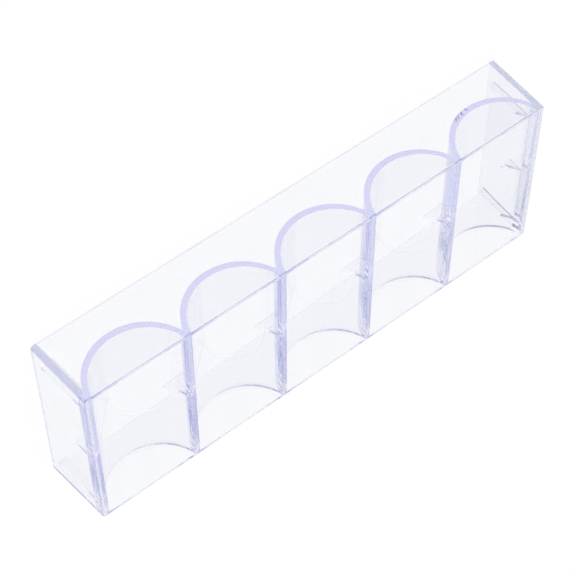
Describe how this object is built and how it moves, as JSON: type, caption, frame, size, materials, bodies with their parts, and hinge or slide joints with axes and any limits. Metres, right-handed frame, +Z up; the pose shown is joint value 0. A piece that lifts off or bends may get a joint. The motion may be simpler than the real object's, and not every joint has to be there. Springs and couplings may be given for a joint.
{
  "type": "chip rack",
  "caption": "Clear plastic rack of side-by-side round-bottomed troughs for rolls of gaming chips, with plain outer walls and an open underside.",
  "frame": {"origin": "on the base plane, under the middle of the rack, as it lies in use", "axes": "+X along the rack's length, +Y along the troughs to the rear long wall, +Z up, out of the open troughs"},
  "size_m": [0.2116, 0.076, 0.0286],
  "materials": {
    "clear_wall": "clear plastic with a faint lilac cast, polished by the mould",
    "clear_trough": "clear plastic with a faint lilac cast, polished by the mould",
    "clear_divider": "clear plastic, lilac where it is seen along its length",
    "clear_web": "clear plastic, thin moulded webs"
  },
  "bodies": {
    "root": {"front_long_wall": "clear_wall", "rear_long_wall": "clear_wall", "left_end_wall": "clear_wall", "right_end_wall": "clear_wall", "trough_1": "clear_trough", "trough_2": "clear_trough", "trough_3": "clear_trough", "trough_4": "clear_trough", "trough_5": "clear_trough", "left_end_land": "clear_divider", "divider_1": "clear_divider", "divider_2": "clear_divider", "divider_3": "clear_divider", "divider_4": "clear_divider", "right_end_land": "clear_divider", "gusset_1": "clear_web", "gusset_2": "clear_web", "gusset_3": "clear_web", "gusset_4": "clear_web", "left_end_gusset": "clear_web", "right_end_gusset": "clear_web", "left_front_rib": "clear_web", "left_rear_rib": "clear_web", "right_front_rib": "clear_web", "right_rear_rib": "clear_web"}
  },
  "joints": []
}
